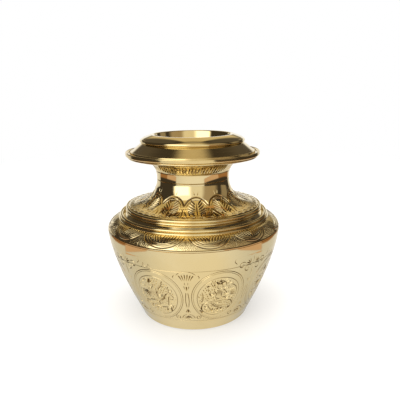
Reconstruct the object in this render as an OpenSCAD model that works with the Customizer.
// Brass kalash pot: spun sheet shells, turned rings and braze fillets on one upright axis.
// Z is up and the origin is the centre of the foot's resting plane. Millimetres.

/* [Bowl] */
// Diameter at the belly seam, the widest part of the pot
belly_d = 105; // [80:1:140]
// Height of the belly seam above the table
belly_z = 55; // [40:1:75]
// Diameter that the bowl's wall runs in to at the foot
foot_d = 66; // [50:1:74]
// How strongly the bowl's wall swells between foot and seam
bowl_swell = 1.45; // [1.2:0.05:1.8]
// Radius of the turned-under edge that the bowl stands on
foot_round = 2; // [1.5:0.1:3]
// Width of the flat of the standing ring
foot_ring_w = 2.4; // [2:0.1:4]
// How far the base is pushed in
base_recess = 1.8; // [1:0.1:3]
// Sheet thickness of the bowl
bowl_wall = 1.2; // [0.9:0.1:1.8]

/* [Shoulder] */
// Height of the rounded shoulder band above the seam
band_h = 6.2; // [4.5:0.1:8]
// Width of the shoulder band, measured level
band_w = 7.9; // [7:0.1:10]
// Sheet thickness of the shoulder
shoulder_wall = 1.1; // [0.9:0.1:1.6]
// Depth of the spigot that sits inside the bowl's mouth
lap_h = 3; // [2:0.5:5]
// Height of the braze line at the belly seam
seam_h = 0.3; // [0.2:0.05:0.6]
// How far the braze line sits back from the surface
seam_set_back = 0.4; // [0.2:0.1:0.7]

/* [Reeded rings] */
// Radius of each of the two reeds on a ring
reed_r = 0.95; // [0.7:0.05:1.1]
// Distance of the lower ring from the foot of the shoulder's seat, up the slope
lower_ring_up = 1.2; // [0.8:0.1:2]
// Distance of the upper ring from the top of the seat, down the slope
upper_ring_down = 2.4; // [2:0.1:3]
// Height between the two reeds of a ring
reed_pitch = 1.7; // [1.5:0.1:2]
// How far the lower ring's bottom reed stands out past its top one
lower_reed_step = 0.8; // [0:0.1:1]
// The same for the upper ring
upper_reed_step = 0.15; // [0:0.05:1]
// How far a ring stands off the shoulder's seat
reed_stand = 0.95; // [0.6:0.05:1.4]

/* [Neck] */
// Diameter at the waist of the neck
waist_d = 43.8; // [36:0.2:48]
// Height of the waist above the neck's foot
waist_rise = 16; // [13:0.1:22]
// Height of the neck's foot above the belly seam
foot_rise = 14.2; // [12.5:0.1:18]
// Diameter of the neck's foot
neck_foot_d = 79; // [74:0.5:82]
// How far the foot overhangs the shoulder's ledge
foot_overhang = 1.4; // [1:0.1:2]
// Height of the flange under the collar, above the waist
flange_rise = 12.2; // [9:0.1:15]
// Squareness of the lower flare, where 2 is an ellipse
flare_power = 2.15; // [2:0.1:3]
// Squareness of the upper flare
trumpet_power = 2.3; // [2:0.1:4]
// Sheet thickness of the neck
neck_wall = 1.1; // [0.9:0.1:1.6]
// Depth of the spigot below the neck's foot
neck_spigot_h = 2.5; // [1.5:0.5:4]

/* [Collar] */
// Outer diameter of the upturned lip
lip_d = 80.1; // [74:0.1:90]
// Height of the lip above the flange
lip_h = 2.5; // [2.2:0.1:4]
// Thickness of the lip at its rounded top
lip_wall = 0.9; // [0.7:0.1:1.2]
// Depth of the gutter inside the lip, below the ridge
gutter_depth = 1.3; // [0.8:0.1:1.6]
// Level width of the gutter and the lip together
gutter_w = 3.35; // [3:0.05:4.5]
// Height of the ridge above the flange
ridge_h = 2.8; // [2.4:0.1:4]
// Diameter at the top of the sloping skirt
skirt_top_d = 61.2; // [58:0.1:64]
// Height of the skirt's top above the flange
skirt_h = 7.4; // [6:0.1:10]
// Sheet thickness of the skirt
skirt_wall = 1.1; // [0.9:0.1:1.6]

/* [Mouth ring] */
// Diameter of the mouth's bore
mouth_d = 43.6; // [42:0.1:46]
// How much the mouth widens in radius from the bore to its top edge
taper_w = 0.9; // [0.4:0.1:1.2]
// Height of that taper
taper_h = 4.2; // [2:0.1:6]
// Height of the mouth ring's crown above the skirt's top
crown_h = 4.85; // [4:0.05:6]
// Width of the rounded inner edge, from the taper to the crown
crown_w = 1.8; // [1.2:0.1:2.4]
// Fall of the mouth's face from the crown to its outer edge
face_fall = 1.75; // [1:0.05:2.5]
// Radius of the bead below the mouth's face
rim_bead_r = 1.25; // [1:0.05:1.5]
// Wall of the throat tube
throat_wall = 1.1; // [0.9:0.1:1.6]

/* [Fits] */
// Radial room between a spigot and its socket, which braze fills
lap_gap = 0.05; // [0.02:0.01:0.1]
// Leg of each braze fillet
fillet = 0.8; // [0.5:0.1:1.1]

/* [Hidden] */
$fn = 96;

brass = [0.86, 0.72, 0.36];
bright_brass = [0.93, 0.80, 0.45];
braze_brown = [0.55, 0.42, 0.20];

curve_steps = 22;  // straight pieces along each long curve
bead_steps = 8;    // and around each small arc
far = 200;         // longer than any section

// Heights of the stacked pieces
shoulder_z = belly_z + seam_h;
neck_foot_z = belly_z + foot_rise;
ledge_z = neck_foot_z - neck_wall;
waist_z = neck_foot_z + waist_rise;
flange_z = waist_z + flange_rise;
collar_z = flange_z + neck_wall;
ridge_z = collar_z + ridge_h;
lip_top_z = collar_z + lip_h;
skirt_top_z = collar_z + skirt_h;
crown_z = skirt_top_z + crown_h;

// Bowl: the wall stops at the foot's rounding, and its mouth is the socket for the shoulder
belly_r = belly_d / 2;
foot_r = foot_d / 2;
function bowl_r(z) = belly_r - (belly_r - foot_r) * pow(1 - z / belly_z, bowl_swell);
standing_r = bowl_r(foot_round) - foot_round;
base_r = standing_r - foot_ring_w;
floor_z = base_recess + bowl_wall;
inside_low_z = floor_z + 0.8;
socket_z = belly_z - lap_h;
socket_r = bowl_r(socket_z) - bowl_wall;
spigot_r = socket_r - lap_gap;

// Shoulder: a quarter ellipse in from the seam, then a cone up to the ledge under the neck
neck_foot_r = neck_foot_d / 2;
neck_spigot_r = neck_foot_r - 3.6;
neck_bore_r = neck_spigot_r - neck_wall;
seat_top = [neck_foot_r - foot_overhang, ledge_z];
seat_low_r = belly_r - band_w;
band_axis = band_w * 1.08;          // the ellipse runs a little past the seat
band_c = belly_r - band_axis;
function band_z(r) = shoulder_z + band_h * sqrt(max(0, 1 - pow((r - band_c) / band_axis, 2)));
seat_low = [seat_low_r, band_z(seat_low_r)];
seat_up = (seat_top - seat_low) / norm(seat_top - seat_low);
seat_out = [seat_up[1], -seat_up[0]];
band = [for (i = [0 : curve_steps - 1])
        let (r = band_c + band_axis * cos(85 * i / curve_steps)) if (r > seat_low_r) [r, band_z(r)]];

// Neck: two superellipse quarters that meet at the waist, one flaring down and one up
waist_r = waist_d / 2;
lip_r = lip_d / 2;
flange_r = lip_r - 1.2;
flange_flat_r = flange_r - 1.85;
flare_a = neck_foot_r - waist_r;
trumpet_a = flange_flat_r - waist_r;
function quarter(t, power) = pow(max(0, 1 - pow(min(1, t), power)), 1 / power);
function flare_r(z, skin = 0) =
    neck_foot_r - (flare_a + skin) * quarter((waist_z - z) / (waist_rise + skin), flare_power);
function flare_z(r, skin = 0) =
    waist_z - (waist_rise + skin) * quarter((neck_foot_r - r) / (flare_a + skin), flare_power);
function trumpet_r(z, skin = 0) =
    flange_flat_r - (trumpet_a + skin) * quarter((z - waist_z) / (flange_rise + skin), trumpet_power);
function trumpet_z(r, skin = 0) =
    waist_z + (flange_rise + skin) * quarter((flange_flat_r - r) / (trumpet_a + skin), trumpet_power);

// Collar and mouth ring
ridge_r = lip_r - gutter_w;
collar_foot_r = ridge_r - 1.2;
gutter_z = ridge_z - gutter_depth;
skirt_top_r = skirt_top_d / 2;
mouth_r = mouth_d / 2;
mouth_top_r = mouth_r + taper_w;
crown_r = mouth_top_r + crown_w;
throat_r = mouth_r + throat_wall;
face_r = skirt_top_r - 1.2;
// The throat tube goes down the trumpet until its rim meets the neck's inner wall
throat_low_z = trumpet_z(throat_r, neck_wall) + lap_gap;

// Heights from a to b that crowd towards b, where the curve turns fastest
function crowd(a, b) = [for (i = [0 : curve_steps]) a + (b - a) * sin(90 * i / curve_steps)];
function spread(a, b) = [for (i = [0 : curve_steps]) a + (b - a) * i / curve_steps];
function arc(c, r, from, to) =
    [for (i = [0 : bead_steps]) let (a = from + (to - from) * i / bead_steps) c + r * [cos(a), sin(a)]];
function disc(c, r) = [for (i = [0 : 3 * bead_steps - 1]) let (a = 120 * i / bead_steps) c + r * [cos(a), sin(a)]];
function backwards(list) = [for (i = [len(list) - 1 : -1 : 0]) list[i]];

module turned(points) {
    rotate_extrude() polygon(points);
}

// Lower shell, with a standing ring and a pushed-in base
module bowl() {
    edge = arc([standing_r, foot_round], foot_round, -90, -10);
    outside = [for (z = spread(foot_round, belly_z)) [bowl_r(z), z]];
    inside = [for (z = spread(socket_z, inside_low_z)) [bowl_r(z) - bowl_wall, z]];
    floor_r = bowl_r(inside_low_z) - bowl_wall - 0.9;
    color(brass)
        turned(concat(
            [[0, floor_z], [0, base_recess], [base_r - base_recess, base_recess], [base_r, 0]],
            edge, outside, [[socket_r, belly_z]], inside, [[floor_r, floor_z]]));
}

// Upper shell: a spigot in the bowl's mouth, the rounded band, the ring seat and the ledge
module shoulder() {
    inner_axis = spigot_r - shoulder_wall - band_c;
    inner_band = [for (i = [1 : curve_steps])
                  let (a = 80 * (1 - i / curve_steps))
                  [band_c + inner_axis * cos(a), shoulder_z + (band_h - shoulder_wall) * sin(a)]];
    ledge_bore_r = neck_spigot_r + lap_gap;
    color(brass)
        turned(concat(
            [[spigot_r, socket_z], [spigot_r, shoulder_z]],
            band,
            [seat_low, seat_top, [ledge_bore_r, ledge_z], [ledge_bore_r, ledge_z - shoulder_wall],
             [seat_top[0] - shoulder_wall / 2, ledge_z - shoulder_wall]],
            inner_band,
            [[spigot_r - shoulder_wall, socket_z]]));
}

// A ring of two reeds, centred over a point of the seat and cut to lie on what is under it
module reeded_ring(root, step) {
    c = root + seat_out * reed_stand;
    low_reed = c + [step, -reed_pitch] / 2;
    high_reed = c + [-step, reed_pitch] / 2;
    along = seat_up * (reed_pitch / 2 + reed_r * 0.7);
    rotate_extrude()
        difference() {
            union() {
                polygon(disc(low_reed, reed_r));
                polygon(disc(high_reed, reed_r));
                polygon([root - along, low_reed, high_reed, root + along]);
            }
            polygon(concat([[0, shoulder_z], [belly_r, shoulder_z]], band, [seat_low, seat_top, [0, ledge_z]]));
            translate([0, ledge_z]) square([neck_foot_r, far]);
        }
}

module lower_ring() {
    color(bright_brass) reeded_ring(seat_low + seat_up * lower_ring_up, lower_reed_step);
}

module upper_ring() {
    color(bright_brass) reeded_ring(seat_top - seat_up * upper_ring_down, upper_reed_step);
}

// Spool-shaped neck with a spigot below and a flange with a rounded edge above
module neck() {
    flare = [for (z = crowd(waist_z, neck_foot_z)) [flare_r(z), z]];
    trumpet = [for (z = crowd(waist_z, flange_z)) [trumpet_r(z), z]];
    flare_in = [for (z = crowd(waist_z, ledge_z))
                let (r = flare_r(z, neck_wall)) if (r < neck_bore_r) [r, z]];
    trumpet_in = [for (z = crowd(waist_z, collar_z)) if (z > waist_z) [trumpet_r(z, neck_wall), z]];
    flare_up = [for (p = backwards(flare)) if (p[1] < waist_z) p];
    color(brass)
        turned(concat(
            [[neck_spigot_r, ledge_z - neck_spigot_h], [neck_spigot_r, ledge_z], [neck_foot_r, ledge_z]],
            flare_up, trumpet,
            arc([flange_r - neck_wall / 2, flange_z + neck_wall / 2], neck_wall / 2, -90, 90),
            backwards(trumpet_in), flare_in,
            [[neck_bore_r, flare_z(neck_bore_r, neck_wall)], [neck_bore_r, ledge_z - neck_spigot_h]]));
}

// Sloping skirt, ridge, gutter and upturned lip, standing on the neck's flange
module collar() {
    bend = 0.45;  // radius of the ridge, and of the lip's rounded top
    lip_in_r = lip_r - lip_wall;
    color(brass)
        turned(concat(
            [[collar_foot_r, collar_z], [flange_r, collar_z], [lip_r, collar_z + 2 * bend]],
            arc([lip_r - lip_wall / 2, lip_top_z - lip_wall / 2], lip_wall / 2, 0, 180),
            [[lip_in_r - bend / 2, gutter_z + bend / 2], [lip_in_r - bend, gutter_z],
             [ridge_r + bend * 1.7, gutter_z]],
            arc([ridge_r, ridge_z - bend], bend, 0, 120),
            [[skirt_top_r, skirt_top_z], [skirt_top_r - skirt_wall, skirt_top_z],
             [collar_foot_r, ridge_z - bend * 1.4]]));
}

// Turned mouth ring: throat tube, crowned face and bead, seated on the skirt's top
module mouth_ring() {
    face_z = crown_z - face_fall;
    crown_round = 0.8;
    taper_z = crown_z - crown_round * 1.3;
    color(bright_brass)
        turned(concat(
            [[mouth_r, throat_low_z], [throat_r, throat_low_z], [throat_r, skirt_top_z]],
            arc([skirt_top_r - rim_bead_r / 2, skirt_top_z + rim_bead_r], rim_bead_r, -90, 62),
            [[face_r + crown_round / 2, face_z - crown_round / 2], [face_r, face_z]],
            arc([crown_r, crown_z - crown_round], crown_round, 68, 90),
            [[mouth_top_r + crown_round / 2, crown_z - crown_round / 2], [mouth_top_r, taper_z],
             [mouth_r, taper_z - taper_h]]));
}

// Braze line between the bowl and the shoulder
module belly_braze() {
    color(braze_brown)
        turned([[spigot_r, belly_z], [belly_r - seam_set_back, belly_z],
                [belly_r - seam_set_back, shoulder_z], [spigot_r, shoulder_z]]);
}

// Fillet under the shoulder's ledge, round the neck's spigot
module neck_braze() {
    low_z = ledge_z - shoulder_wall;
    color(braze_brown)
        turned([[neck_spigot_r, low_z], [neck_spigot_r, low_z - fillet],
                [neck_spigot_r + lap_gap + fillet, low_z]]);
}

// Fillet inside the hollow collar, between its foot and the flange
module collar_braze() {
    color(braze_brown)
        turned([[collar_foot_r, collar_z], [collar_foot_r, collar_z + fillet],
                [collar_foot_r - fillet, collar_z]]);
}

// Braze in the corner between the throat tube and the neck's trumpet
module throat_braze() {
    top_z = min(throat_low_z + 2 * fillet, trumpet_z(throat_r + 2 * fillet, neck_wall));
    wall = [for (i = [0 : 3]) let (z = top_z + (throat_low_z - top_z) * i / 3)
            [trumpet_r(z, neck_wall) - lap_gap, z]];
    color(braze_brown)
        turned(concat([[throat_r, throat_low_z], [throat_r, top_z]], wall));
}

bowl();
shoulder();
lower_ring();
upper_ring();
neck();
collar();
mouth_ring();
belly_braze();
neck_braze();
collar_braze();
throat_braze();
